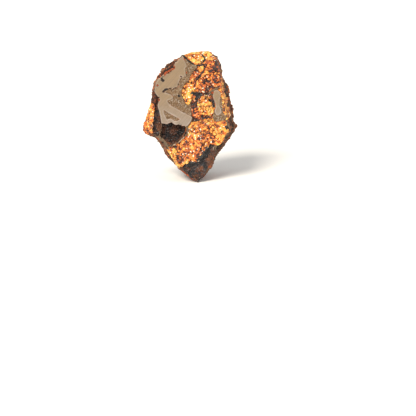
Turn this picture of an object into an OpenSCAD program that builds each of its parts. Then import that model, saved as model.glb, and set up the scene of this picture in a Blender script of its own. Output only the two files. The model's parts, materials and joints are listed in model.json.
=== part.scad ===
// Pallasite meteorite fragment: a nickel-iron skeleton with olivine crystals in its sockets.
// It stands on a small flat spot at its lower tip, with its cut face toward -Y.
// Every outline is given as [x, z] on the cut face, in millimetres, for a stone 20.8 mm tall.

/* [Stone] */
// Height of the stone as it stands
stone_height = 20.8; // [16:0.1:26]
// Depth from the cut face to the back
stone_depth = 9.6; // [9.2:0.1:10.4]
// Size of the shoulder behind the girth, as a share of the girth
shoulder_share = 0.9; // [0.86:0.01:0.92]
// Size of the back, as a share of the girth
back_share = 0.62; // [0.55:0.01:0.68]
// How much fuller the back is at the right than at the left
right_bulk = 0.02; // [0.01:0.001:0.022]

/* [Grains] */
// How deep the cut metal grains reach behind the cut face
metal_depth = 2.3; // [1.6:0.1:2.8]
// How deep the cut olivine crystals reach behind the cut face
crystal_depth = 4.1; // [3.2:0.1:4.3]
// How deep the oxide patches reach behind the cut face
oxide_depth = 1.7; // [1.5:0.1:2.4]
// Depth of the empty socket below the cut face
socket_depth = 0.8; // [0.4:0.1:1.1]
// How far the weathered seams lie below the cut face
seam_depth = 0.25; // [0.1:0.05:0.4]
// How far the crystals of the back stand proud of the metal
back_relief = 0.3; // [0.1:0.05:0.4]

/* [Hidden] */
drawn_height = 20.8;
front_y = -stone_depth / 2;
shoulder_depth = 0.6 * stone_depth;
back_depth = 0.86 * stone_depth;
// The foot is a flat spot that widens from the tip toward the back
foot_x = 1.2;
foot_spread = 1.2;
back_centre = [1.9, 8.2];
// How far the back's highest point lies above its centre
back_peak = 0.6;
face_centre = [0.4, front_y, 9.5];
// How far past a surface a cut runs
clear = 1;
// Centres of two back crystals that may touch lie closer than this
touching = 6;

// Colours
kamacite_grey = "#a89f92";
plessite_grey = "#86745f";
frame_grey = "#8d8272";
olivine_yellow = "#f6b34a";
olivine_orange = "#e0812a";
olivine_brown_red = "#7c4524";
oxide_black = "#34302f";
rust_brown = "#6d3a1c";
rust_orange = "#c9682a";

// Stations round the stone, clockwise from the tip: the corner of the cut face [x, z],
// then the widest point behind it [x, z, depth]
stations = [
    [[1.3, 0.0], [1.2, 0.0, 4.0]],
    [[0.3, 0.5], [-0.1, 0.0, 4.4]],
    [[-1.0, 1.5], [-1.2, 1.1, 3.0]],
    [[-1.8, 2.3], [-2.2, 2.1, 2.6]],
    [[-2.5, 3.3], [-3.0, 2.9, 2.5]],
    [[-3.1, 4.3], [-4.4, 4.3, 2.5]],
    [[-3.6, 5.4], [-4.7, 5.2, 2.3]],
    [[-4.3, 6.5], [-5.1, 6.4, 2.0]],
    [[-5.2, 7.3], [-5.9, 7.1, 1.8]],
    [[-5.9, 7.9], [-7.0, 7.4, 1.6]],
    [[-5.9, 8.8], [-7.45, 8.4, 1.6]],
    [[-5.8, 10.0], [-7.1, 9.6, 1.5]],
    [[-5.7, 11.4], [-6.6, 11.2, 1.3]],
    [[-5.6, 12.8], [-6.2, 12.6, 1.0]],
    [[-5.6, 14.3], [-5.9, 14.2, 1.0]],
    [[-5.3, 15.7], [-5.6, 15.6, 1.0]],
    [[-4.7, 16.7], [-5.0, 16.9, 1.0]],
    [[-3.9, 17.3], [-4.5, 17.6, 1.2]],
    [[-2.8, 18.0], [-3.3, 18.6, 1.2]],
    [[-2.2, 19.0], [-2.5, 19.2, 1.0]],
    [[-1.2, 20.1], [-1.2, 20.0, 1.0]],
    [[0.2, 20.6], [0.2, 20.4, 1.2]],
    [[1.6, 20.7], [1.6, 20.5, 1.2]],
    [[2.9, 20.8], [2.9, 20.5, 1.2]],
    [[4.0, 19.8], [4.1, 19.5, 1.5]],
    [[4.5, 18.4], [4.7, 17.9, 1.8]],
    [[4.8, 17.2], [5.0, 16.7, 1.8]],
    [[4.9, 15.9], [5.3, 15.3, 1.8]],
    [[5.1, 14.5], [5.6, 13.9, 2.0]],
    [[5.3, 13.0], [6.0, 12.4, 2.2]],
    [[5.5, 11.3], [6.2, 10.8, 2.4]],
    [[5.9, 9.8], [6.9, 9.2, 2.6]],
    [[6.2, 8.9], [7.45, 8.5, 2.8]],
    [[6.0, 8.0], [6.8, 7.5, 3.0]],
    [[5.4, 6.7], [5.9, 5.9, 3.2]],
    [[4.4, 5.8], [5.0, 4.5, 3.4]],
    [[3.7, 4.6], [4.3, 3.3, 3.6]],
    [[3.1, 3.1], [3.5, 1.9, 3.8]],
    [[2.3, 1.5], [2.7, 0.6, 4.0]],
    [[1.8, 0.6], [2.2, 0.0, 4.2]]
];
count = len(stations);

// Grains of the cut face, [name, depth below the face, reach behind it, outlines], in the order
// in which they claim the face: where two outlines overlap, the earlier grain keeps the place
function dot(x, z, r) = [for (a = [20:60:320]) [x + r * cos(a), z + r * sin(a)]];

grains = [
    ["rust_beads", 0, 0.5, [
        dot(-5.0, 15.4, 0.24),
        dot(-4.8, 13.1, 0.24),
        dot(3.4, 14.2, 0.24),
        dot(-4.3, 16.3, 0.17)]],
    ["phosphide_beads", 0, 0.5, [
        dot(-3.1, 14.9, 0.15),
        dot(-2.65, 14.9, 0.15),
        dot(-2.2, 14.95, 0.13),
        dot(-1.4, 16.8, 0.17),
        dot(-1.8, 15.6, 0.15),
        [[-4.2, 14.4], [-4.0, 14.8], [-3.5, 14.95], [-3.5, 14.75], [-3.9, 14.6], [-4.0, 14.35]]]],
    ["plessite_core", 0, 1.4, [
        [[-4.2, 11.7], [-3.5, 11.2], [-2.3, 10.5], [-1.5, 10.1], [-1.9, 9.8], [-2.4, 9.8], [-3.0, 10.2],
         [-3.6, 10.0], [-4.0, 10.9]]]],
    ["kamacite_band", 0, metal_depth, [
        [[-1.7, 20.9], [-1.1, 20.1], [-0.9, 19.3], [-0.6, 18.7], [-0.5, 18.3], [-0.8, 18.1], [-0.7, 17.2],
         [-1.0, 16.7], [-1.5, 16.5], [-1.8, 15.8], [-2.0, 15.2], [-2.5, 15.0], [-3.1, 15.1], [-3.6, 14.8],
         [-4.1, 14.7], [-4.0, 14.3], [-3.3, 14.1], [-2.9, 13.9], [-2.6, 13.5], [-3.0, 13.2], [-3.6, 13.0],
         [-3.1, 12.3], [-2.2, 11.8], [-1.2, 11.2], [-0.2, 10.7], [0.3, 10.4], [0.1, 9.8], [-0.4, 9.1],
         [-1.2, 9.0], [-2.5, 9.3], [-2.9, 9.6], [-3.5, 9.3], [-4.4, 9.4], [-4.6, 10.6], [-5.0, 12.2],
         [-4.7, 13.3], [-5.1, 13.9], [-5.5, 14.4], [-6.4, 14.9], [-6.4, 15.9], [-4.8, 16.5], [-4.0, 17.1],
         [-3.2, 17.6], [-2.5, 18.3], [-2.3, 18.9], [-2.9, 19.9]]]],
    ["kamacite_spoon", 0, metal_depth, [
        [[3.7, 14.5], [4.2, 14.7], [4.6, 14.3], [4.7, 13.8], [4.5, 12.9], [4.5, 12.2], [4.8, 11.6],
         [4.8, 11.1], [4.4, 10.7], [4.0, 10.8], [3.8, 11.3], [4.0, 12.1], [3.8, 12.9], [3.5, 13.6]]]],
    ["olivine_crown", 0, crystal_depth, [
        [[-2.4, 22], [-1.7, 20.4], [-1.2, 19.7], [-0.3, 19.4], [0.9, 18.5], [2.0, 18.7], [2.3, 19.6],
         [1.9, 20.2], [2.2, 22]]]],
    ["olivine_heart", 0, crystal_depth, [
        [[-0.5, 15.9], [0.1, 15.6], [0.5, 15.0], [0.8, 14.3], [0.4, 13.5], [0.1, 12.8], [-0.2, 12.2],
         [-0.7, 12.5], [-1.1, 13.3], [-1.4, 14.1], [-1.2, 14.9], [-0.9, 15.5]]]],
    ["olivine_lens", 0, crystal_depth, [
        [[1.6, 13.6], [2.2, 13.9], [2.6, 13.8], [3.1, 13.2], [3.5, 12.2], [3.6, 11.2], [3.3, 10.5],
         [2.5, 10.6], [1.5, 10.8], [1.3, 11.6], [1.1, 12.3], [1.2, 12.9]]]],
    ["plessite_upper", 0, metal_depth, [
        [[-1.4, 20.2], [-0.2, 19.8], [1.2, 18.7], [1.0, 18.2], [0.5, 17.6], [0.1, 17.0], [-0.2, 16.3],
         [-0.4, 15.7], [-1.0, 15.2], [-1.4, 14.9], [-2.4, 14.8], [-2.2, 17.0], [-1.6, 17.8]]]],
    ["plessite_middle", 0, metal_depth, [
        [[-3.9, 15.0], [-1.9, 15.4], [-1.0, 15.0], [-0.9, 13.0], [-0.3, 12.4], [0.1, 12.5], [0.1, 11.6],
         [0.2, 10.9], [0.1, 10.0], [-2.4, 11.4], [-3.9, 12.6], [-3.4, 13.4], [-4.0, 14.1]]]],
    ["plessite_band", 0, metal_depth, [
        [[4.3, 13.5], [5.0, 13.4], [5.1, 12.4], [5.3, 11.4], [5.7, 10.6], [5.7, 10.1], [5.2, 9.9],
         [4.6, 9.8], [4.0, 9.7], [3.6, 10.0], [3.5, 10.6], [3.8, 11.6], [4.2, 12.4]]]],
    ["olivine_strip", 0, 2.8, [
        [[0.7, 18.4], [1.3, 18.8], [1.9, 18.8], [2.1, 18.2], [2.0, 17.6], [1.5, 17.1], [1.2, 16.6],
         [1.0, 16.1], [0.2, 16.0], [-0.2, 15.6], [-0.6, 16.2], [0.0, 17.4]]]],
    ["olivine_cap", 0, 3.4, [
        [[1.6, 22], [1.7, 20.2], [2.1, 19.5], [2.8, 19.4], [3.3, 19.1], [4.0, 19.2], [5.4, 19.6],
         [4.8, 22]]]],
    ["olivine_right", 0, crystal_depth, [
        [[3.5, 17.3], [4.3, 17.4], [6.2, 17.6], [6.6, 15.3], [4.9, 15.2], [4.3, 15.0], [3.7, 15.2],
         [3.4, 15.7], [3.7, 16.4]]]],
    ["olivine_brown", 0.1, 3.0, [
        [[1.8, 19.2], [2.8, 19.8], [4.0, 19.6], [5.8, 20.0], [6.4, 17.2], [4.3, 17.1], [3.4, 17.0],
         [2.7, 17.6], [2.0, 17.7], [1.8, 18.4]]]],
    ["olivine_centre", 0.05, 3.7, [
        [[1.7, 17.9], [2.7, 17.8], [3.7, 17.4], [4.0, 16.4], [4.0, 15.0], [3.4, 14.7], [2.6, 14.1],
         [1.4, 14.2], [0.6, 13.9], [-0.1, 15.2], [-0.3, 16.1], [1.0, 16.5]]]],
    ["olivine_inner", 0.1, 2.6, [
        [[-0.1, 12.4], [0.5, 13.0], [1.1, 13.3], [1.6, 13.0], [1.6, 11.4], [1.8, 10.6], [1.1, 10.3],
         [0.5, 10.2], [0.0, 10.5], [0.0, 11.5]]]],
    ["olivine_rim", 0, 3.2, [
        [[4.3, 14.8], [5.0, 15.5], [6.8, 15.5], [7.6, 10.4], [6.3, 10.1], [5.9, 9.9], [5.4, 10.4],
         [4.9, 11.6], [4.8, 12.8], [4.3, 13.8]]]],
    ["olivine_belly", 0, crystal_depth, [
        [[-0.3, 9.0], [0.1, 9.6], [0.9, 9.7], [2.2, 10.1], [3.2, 10.1], [4.0, 10.1], [5.2, 10.1],
         [5.7, 9.5], [5.7, 9.0], [6.1, 8.4], [6.1, 7.9], [5.5, 7.6], [5.3, 7.2], [5.4, 6.6], [5.0, 6.0],
         [4.3, 5.8], [3.5, 6.0], [3.1, 6.2], [2.2, 6.8], [1.6, 7.4], [0.6, 8.0], [0.0, 8.2],
         [-0.3, 8.6]]]],
    ["oxide_pocket", seam_depth, oxide_depth, [
        [[0.3, 10.0], [0.7, 10.6], [1.7, 10.9], [3.3, 10.9], [3.7, 10.8], [4.0, 10.0], [3.2, 9.8],
         [1.6, 9.5], [0.4, 9.4]]]],
    ["oxide_arc", seam_depth, oxide_depth, [
        [[0.3, 12.7], [0.5, 14.1], [1.4, 14.5], [2.6, 14.4], [3.4, 13.7], [3.8, 12.9], [4.0, 12.1],
         [3.7, 10.6], [3.2, 10.8], [2.2, 12.4]]]],
    ["olivine_splinter", 0, 3.0, [
        [[-3.7, 5.3], [-3.2, 4.9], [-2.7, 4.3], [-2.2, 3.6], [-1.8, 3.1], [-1.6, 2.2], [-2.2, 2.3],
         [-2.8, 3.5], [-3.3, 4.4], [-3.8, 5.2]]]],
    ["olivine_lower", 0, crystal_depth, [
        [[-3.5, 5.6], [-3.0, 6.0], [-2.4, 6.1], [-1.6, 6.6], [-1.0, 7.2], [-0.6, 8.0], [0.0, 8.4],
         [0.8, 8.2], [2.0, 7.4], [3.2, 6.6], [3.0, 6.0], [2.6, 5.2], [2.3, 4.4], [1.6, 3.6], [0.8, 3.1],
         [-0.1, 2.9], [-0.8, 2.9], [-1.3, 2.5], [-2.1, 2.6], [-2.8, 4.0], [-3.4, 4.9]]]],
    ["socket_lining", socket_depth, 2.2, [
        [[-3.7, 9.6], [-2.8, 9.8], [-1.2, 9.3], [-0.8, 8.9], [-0.7, 8.3], [-1.0, 7.6], [-1.6, 6.9],
         [-2.4, 6.3], [-3.0, 6.1], [-3.5, 6.4], [-4.0, 7.0], [-4.6, 7.5], [-4.4, 8.4], [-4.2, 9.5]]]],
    ["toe_oxide", 0.1, 2.4, [
        [[-1.9, 2.8], [-1.3, 2.6], [-0.8, 3.0], [-0.1, 3.0], [0.8, 3.2], [1.6, 3.7], [2.3, 4.5],
         [2.6, 5.3], [3.0, 6.1], [3.5, 6.2], [3.8, 5.4], [4.1, 4.6], [3.6, 3.2], [3.0, 1.6],
         [2.4, -0.6], [0.5, -0.6], [-1.6, 0.7], [-2.4, 2.0]]]],
    ["oxide_seam", seam_depth, oxide_depth, [
        [[-5.2, 12.2], [-4.8, 11.8], [-4.5, 10.8], [-4.3, 9.8], [-4.3, 9.2], [-4.5, 8.5], [-4.7, 7.7],
         [-5.0, 7.4], [-5.6, 7.7], [-6.0, 8.1], [-5.9, 8.9], [-5.7, 9.8], [-5.6, 10.8], [-5.7, 11.6],
         [-5.5, 12.2]]]],
    ["olivine_shoulder", 0, crystal_depth, [
        [[-5.4, 12.3], [-6.0, 12.5], [-7.6, 12.6], [-9.2, 8.6], [-7.9, 6.6], [-6.4, 7.5], [-5.7, 7.9],
         [-5.5, 8.9], [-5.4, 10.8], [-5.5, 11.6]]]],
    ["rust_crust", 0.1, oxide_depth, [
        [[-5.0, 11.9], [-4.6, 13.2], [-5.0, 14.2], [-5.5, 14.7], [-7.2, 14.8], [-7.2, 12.3],
         [-5.8, 12.1]]]],
    ["slit_crust", 0, oxide_depth, [
        [[-6.8, 15.4], [-4.6, 16.0], [-2.0, 18.0], [-1.8, 19.4], [-2.7, 20.8], [-6.0, 18.8]]]]
];

// Crystals of the sides and back: [name, centre [x, z, depth], size, turn]
back_grains = [
    ["back_crown", [-0.8, 16.6, 6.0], [4.6, 3.0, 3.6], [20, 10, 15]],
    ["back_left", [-3.7, 12.9, 5.5], [4.2, 3.8, 4.8], [10, 25, -20]],
    ["back_heart", [-0.1, 12.0, 7.8], [4.0, 3.8, 4.6], [0, 30, 10]],
    ["back_low_left", [-3.5, 8.0, 5.8], [4.6, 3.6, 3.9], [15, -20, 0]],
    ["back_centre", [0.4, 7.0, 8.2], [3.8, 3.6, 3.6], [25, 15, 5]],
    ["back_right", [4.4, 14.2, 6.3], [2.4, 3.0, 3.2], [5, -15, 20]],
    ["back_belly", [5.6, 9.4, 7.0], [2.6, 2.8, 3.0], [-10, 20, 25]],
    ["back_foot", [-1.0, 3.7, 6.1], [3.0, 3.0, 2.8], [10, 35, 0]],
    ["back_chin", [4.4, 4.9, 5.6], [2.2, 2.6, 2.6], [30, 0, 20]]
];

// Sockets of the back that have lost their crystals, as the back grains are given
back_sockets = [
    ["high", [3.0, 10.9, 8.7], [1.7, 1.6, 1.5], [15, 20, 0]],
    ["middle", [-2.2, 9.9, 8.6], [1.5, 1.4, 1.9], [0, 40, 20]],
    ["side", [6.2, 12.2, 4.9], [1.4, 1.8, 1.6], [10, 0, 30]]
];

function find(name, list) = search([name], list)[0];
function wave(i, turns, start) = sin(360 * turns * i / count + start);

// The box round an outline, and whether two outlines' boxes overlap
function column(points, axis) = [for (p = points) p[axis]];
function before(a, b, axis) = max(column(a, axis)) <= min(column(b, axis));
function apart(a, b, axis) = before(a, b, axis) || before(b, a, axis);
function meet(a, b) = !apart(a, b, 0) && !apart(a, b, 1);

// The outlines that claim the face before grain k does, where they come near it
function earlier_neighbours(k) = k == 0 ? [] : [
    for (j = [0:k - 1], b = grains[j][3])
        if (len([for (a = grains[k][3]) if (meet(a, b)) 1]) > 0) b
];

// The four rings of the stone, each point as [x, y, z]
function face_point(i) = let (c = stations[i][0]) [c[0], front_y, c[1]];
function girth_point(i, grow) = let (g = stations[i][1], m = g[1] < 1 ? 0 : grow)
    [g[0] * (1 + m / 7), front_y + g[2], g[1] * (1 + m / 12)];
function shoulder_point(i, grow) =
    let (g = stations[i][1], foot = g[1] == 0)
    let (lump = 0.035 * wave(i, 3, 20) + 0.02 * wave(i, 7, 50) + 0.6 * right_bulk * g[0] + grow / 7)
    let (s = foot ? foot_spread : shoulder_share + lump)
    let (low = min(1, g[1] / 4))
    [foot_x + s * (g[0] - foot_x),
     front_y + shoulder_depth + (0.15 * g[0] + 0.45 * wave(i, 4, 0)) * low,
     s * g[1]];
function back_point(i, grow) =
    let (g = stations[i][1])
    let (lump = 0.05 * wave(i, 3, 80) + 0.035 * wave(i, 5, 10) + right_bulk * g[0] + grow / 7)
    let (s = back_share + lump)
    [back_centre[0] + s * (g[0] - back_centre[0]),
     front_y + back_depth + 0.11 * g[0] + 0.3 * wave(i, 2, 30) + grow / 2,
     back_centre[1] + s * (g[1] - back_centre[1])];

// The whole stone as one closed shape; grow swells its sides and back
module stone(grow = 0) {
    face = [for (i = [0:count - 1]) face_point(i)];
    girth = [for (i = [0:count - 1]) girth_point(i, grow)];
    shoulder = [for (i = [0:count - 1]) shoulder_point(i, grow)];
    back = [for (i = [0:count - 1]) back_point(i, grow)];
    centres = [face_centre, [back_centre[0], -front_y, back_centre[1] + back_peak]];
    last_ring = 3 * count;
    face_fan = 4 * count;
    back_fan = face_fan + 1;
    next = [for (i = [0:count - 1]) (i + 1) % count];
    polyhedron(
        points = concat(face, girth, shoulder, back, centres),
        faces = concat(
            [for (i = [0:count - 1]) [face_fan, i, next[i]]],
            [for (r = [0:count:2 * count], i = [0:count - 1]) [r + i, r + count + next[i], r + next[i]]],
            [for (r = [0:count:2 * count], i = [0:count - 1]) [r + i, r + count + i, r + count + next[i]]],
            [for (i = [0:count - 1]) [back_fan, last_ring + next[i], last_ring + i]]
        )
    );
}

// Prism behind the cut face, from near to far, over the part of the face that grain k holds
module face_prism(k, near, far) {
    translate([0, front_y + far, 0])
        rotate([90, 0, 0])
            linear_extrude(far - near)
                difference() {
                    for (outline = grains[k][3]) polygon(outline);
                    for (outline = earlier_neighbours(k)) polygon(outline);
                }
}

// One grain of the cut face
module face_grain(name) {
    k = find(name, grains);
    near = grains[k][1] > 0 ? grains[k][1] : -clear;
    intersection() {
        stone();
        face_prism(k, near, grains[k][2]);
    }
}

// Moves its children to a crystal's place and turn; g is a row of back_grains or back_sockets
module placed(g) {
    translate([g[1][0], front_y + g[1][2], g[1][1]])
        rotate(g[3])
            children();
}

// The three boxes that cut a crystal with worn corners, of which corner is 0 to 2
corner_turns = [[0, 0, 0], [38, 24, 18], [-30, 12, 47]];
corner_swell = [1, 1.08, 1.12];
module corner_box(g, corner) {
    placed(g)
        rotate(corner_turns[corner])
            cube(g[2] * corner_swell[corner], center = true);
}

// A crystal with worn corners
module worn_crystal(g) {
    intersection() {
        corner_box(g, 0);
        corner_box(g, 1);
        corner_box(g, 2);
    }
}

// One crystal of the back, a little proud of the metal; where two meet, the earlier keeps the place
module back_grain(name) {
    k = find(name, back_grains);
    g = back_grains[k];
    difference() {
        intersection() {
            stone(back_relief);
            corner_box(g, 0);
            corner_box(g, 1);
            corner_box(g, 2);
        }
        if (k > 0)
            for (j = [0:k - 1])
                if (norm(back_grains[j][1] - g[1]) < touching)
                    worn_crystal(back_grains[j]);
    }
}

// The nickel-iron skeleton: the stone less every socket
module metal_frame() {
    color(frame_grey)
        difference() {
            stone();
            for (k = [0:len(grains) - 1]) face_prism(k, -clear, grains[k][2]);
            for (g = back_grains) worn_crystal(g);
            for (g = back_sockets) worn_crystal(g);
        }
}

module kamacite_band() { color(kamacite_grey) face_grain("kamacite_band"); }
module kamacite_spoon() { color(kamacite_grey) face_grain("kamacite_spoon"); }
module plessite_core() { color(plessite_grey) face_grain("plessite_core"); }
module plessite_upper() { color(plessite_grey) face_grain("plessite_upper"); }
module plessite_middle() { color(plessite_grey) face_grain("plessite_middle"); }
module plessite_band() { color(plessite_grey) face_grain("plessite_band"); }
module phosphide_beads() { color(oxide_black) face_grain("phosphide_beads"); }
module rust_beads() { color(rust_orange) face_grain("rust_beads"); }
module olivine_crown() { color(olivine_yellow) face_grain("olivine_crown"); }
module olivine_cap() { color(olivine_yellow) face_grain("olivine_cap"); }
module olivine_brown() { color(olivine_brown_red) face_grain("olivine_brown"); }
module olivine_strip() { color(olivine_yellow) face_grain("olivine_strip"); }
module olivine_right() { color(olivine_orange) face_grain("olivine_right"); }
module olivine_centre() { color(olivine_brown_red) face_grain("olivine_centre"); }
module olivine_heart() { color(olivine_yellow) face_grain("olivine_heart"); }
module olivine_lens() { color(olivine_yellow) face_grain("olivine_lens"); }
module olivine_inner() { color(olivine_brown_red) face_grain("olivine_inner"); }
module olivine_rim() { color(olivine_orange) face_grain("olivine_rim"); }
module olivine_belly() { color(olivine_orange) face_grain("olivine_belly"); }
module olivine_lower() { color(olivine_orange) face_grain("olivine_lower"); }
module olivine_splinter() { color(olivine_yellow) face_grain("olivine_splinter"); }
module olivine_shoulder() { color(olivine_orange) face_grain("olivine_shoulder"); }
module oxide_arc() { color(oxide_black) face_grain("oxide_arc"); }
module oxide_pocket() { color(oxide_black) face_grain("oxide_pocket"); }
module oxide_seam() { color(oxide_black) face_grain("oxide_seam"); }
module socket_lining() { color(oxide_black) face_grain("socket_lining"); }
module toe_oxide() { color(oxide_black) face_grain("toe_oxide"); }
module rust_crust() { color(rust_brown) face_grain("rust_crust"); }
module slit_crust() { color(rust_brown) face_grain("slit_crust"); }
module back_crown() { color(olivine_orange) back_grain("back_crown"); }
module back_left() { color(olivine_yellow) back_grain("back_left"); }
module back_heart() { color(olivine_orange) back_grain("back_heart"); }
module back_low_left() { color(olivine_brown_red) back_grain("back_low_left"); }
module back_centre() { color(olivine_orange) back_grain("back_centre"); }
module back_right() { color(olivine_yellow) back_grain("back_right"); }
module back_belly() { color(olivine_orange) back_grain("back_belly"); }
module back_foot() { color(olivine_brown_red) back_grain("back_foot"); }
module back_chin() { color(olivine_orange) back_grain("back_chin"); }

// Every sub-part, at the size of the stone
scale(stone_height / drawn_height) {
    metal_frame();
    kamacite_band();
    kamacite_spoon();
    plessite_core();
    plessite_upper();
    plessite_middle();
    plessite_band();
    phosphide_beads();
    rust_beads();
    olivine_crown();
    olivine_cap();
    olivine_brown();
    olivine_strip();
    olivine_right();
    olivine_centre();
    olivine_heart();
    olivine_lens();
    olivine_inner();
    olivine_rim();
    olivine_belly();
    olivine_lower();
    olivine_splinter();
    olivine_shoulder();
    oxide_arc();
    oxide_pocket();
    oxide_seam();
    socket_lining();
    toe_oxide();
    rust_crust();
    slit_crust();
    back_crown();
    back_left();
    back_heart();
    back_low_left();
    back_centre();
    back_right();
    back_belly();
    back_foot();
    back_chin();
}
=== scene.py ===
"""Looks of a pallasite meteorite: cut metal, sugary olivine, oxide and a weathered skin."""

import itertools
import json
import math

import bpy
import numpy as np
from bpy.props import FloatProperty, FloatVectorProperty, PointerProperty
from mathutils import Matrix, Vector
from mathutils.kdtree import KDTree


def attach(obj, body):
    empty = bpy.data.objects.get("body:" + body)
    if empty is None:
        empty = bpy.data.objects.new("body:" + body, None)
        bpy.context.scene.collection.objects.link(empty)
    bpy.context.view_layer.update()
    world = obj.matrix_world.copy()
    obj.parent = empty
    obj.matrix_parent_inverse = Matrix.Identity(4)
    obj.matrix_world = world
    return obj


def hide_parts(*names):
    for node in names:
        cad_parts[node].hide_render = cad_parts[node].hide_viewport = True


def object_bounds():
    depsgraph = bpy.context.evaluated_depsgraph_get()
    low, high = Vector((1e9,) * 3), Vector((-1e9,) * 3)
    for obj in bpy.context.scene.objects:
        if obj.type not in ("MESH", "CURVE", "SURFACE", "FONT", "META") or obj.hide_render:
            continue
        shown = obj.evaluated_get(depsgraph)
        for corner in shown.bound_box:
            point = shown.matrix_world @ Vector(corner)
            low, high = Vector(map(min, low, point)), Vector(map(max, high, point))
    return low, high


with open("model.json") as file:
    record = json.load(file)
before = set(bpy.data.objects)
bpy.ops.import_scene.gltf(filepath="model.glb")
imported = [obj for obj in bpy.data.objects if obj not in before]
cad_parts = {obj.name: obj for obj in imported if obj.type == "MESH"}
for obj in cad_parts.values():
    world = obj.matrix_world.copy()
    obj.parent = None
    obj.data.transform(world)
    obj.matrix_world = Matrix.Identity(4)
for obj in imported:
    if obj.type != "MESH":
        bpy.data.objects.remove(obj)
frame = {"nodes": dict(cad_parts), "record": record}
cad_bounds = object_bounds()

bl_info = {
    "name": "Pallasite Meteorite",
    "version": (1, 0, 0),
    "blender": (4, 5, 0),
    "location": "View3D > Sidebar > Pallasite",
    "description": "Grows the grains of a cut pallasite and gives each its finish",
    "category": "Object",
}

# A millimetre in metres, the cut face's place across the stone in millimetres, and each node's slot
MM = 0.001
CUT_FACE = cad_bounds[0][1] / MM
SLOTS = {entry["node"]: entry["material_slot"] for entry in frame["record"]["subparts"]}

# First seed of each family of grains, and the step from one grain to the next
SEEDS = {"face": 200, "back": 900, "stained": 1300, "oxide": 1500, "rust": 1900}
SEED_STEP = 31

# What a grain's own patterns add to its seed
FINE_CRUMBS, BROAD_PATCHES, SMALL_PATCHES, OPEN_SEAMS = 11, 30, 50, 60

# Seeds of the patterns that run through every grain alike
PATTERNS = {
    "rim": 12,
    "skin_edge": 33,
    "proud_edge": 35,
    "flakes": 40,
    "small_flakes": 47,
    "roughness": 60,
    "pits": 66,
    "lumps": 70,
    "drift": 90,
    "mark_edges": 90,
    "mark_breaks": 95,
}

# ---------------------------------------------------------------- what each grain is like

# Cut metal: how far it lies below the polished plane, in millimetres
METAL = {
    "kamacite_band": 0.0,
    "kamacite_spoon": 0.005,
    "plessite_core": 0.03,
    "plessite_upper": 0.035,
    "plessite_middle": 0.04,
    "plessite_band": 0.045,
}

# Olivine of the cut face: its place in the range from brown (-0.5) to pale yellow (0.5)
FACE_CRYSTALS = {
    "olivine_crown": 0.28,
    "olivine_cap": 0.08,
    "olivine_brown": -0.27,
    "olivine_strip": 0.03,
    "olivine_right": 0.08,
    "olivine_centre": -0.1,
    "olivine_heart": 0.26,
    "olivine_lens": 0.42,
    "olivine_inner": -0.31,
    "olivine_rim": 0.18,
    "olivine_belly": 0.2,
    "olivine_lower": 0.06,
    "olivine_splinter": 0.5,
    "olivine_shoulder": 0.11,
}

# Olivine of the sides and back, in the same range
BACK_CRYSTALS = {
    "back_crown": -0.05,
    "back_left": 0.05,
    "back_heart": 0.0,
    "back_low_left": -0.2,
    "back_centre": -0.02,
    "back_right": 0.08,
    "back_belly": -0.05,
    "back_foot": -0.2,
    "back_chin": -0.1,
}

# Stained patches that break up as olivine does, in the same range
STAINED = {"oxide_arc": -0.2, "oxide_pocket": -0.46}

# Oxides and rusts: depth below the polished plane and height of the relief, in millimetres
OXIDES = {
    "phosphide_beads": (0.02, 0.08),
    "oxide_seam": (0.05, 0.22),
    "socket_lining": (0.05, 0.35),
    "toe_oxide": (0.03, 0.2),
}

RUSTS = {
    "rust_beads": (0.02, 0.1),
    "rust_crust": (0.05, 0.25),
    "slit_crust": (0.05, 0.3),
}

# Depth of olivine below the polished plane and size of the crumbs of oxide and rust, in millimetres
OLIVINE_RECESS = 0.05
CRUMB = 0.3

# Depths behind the cut face, in millimetres, at which the weathered skin starts and is whole
NEAR_SKIN = (0.5, 1.4)
FAR_SKIN = (1.2, 3.2)

# How far into the stone, in millimetres, the marks of the cut face and the hollows of the skin reach
MARK_REACH = 0.7
HOLLOW_REACH = 1.3

# The camera stands to the right of, above and back from the stone's foot, in millimetres of its own
# view. It is turned and looks down by these degrees.
CAMERA_PLACE = (2.76, -3.91, 367.6)
CAMERA_TURN = 0.6
CAMERA_TILT = 14.2

# The lights: the direction each comes from, its colour and its spread in degrees
KEY_LIGHT = ((-0.5, -0.8, 0.85), (1.0, 0.94, 0.84), 24)
FILL_LIGHT = ((0.9, -0.5, 0.5), (1.0, 0.96, 0.92), 40)

# Radius of the floor in metres, and the number of its corners
FLOOR_RADIUS = 4
FLOOR_CORNERS = 64

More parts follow.
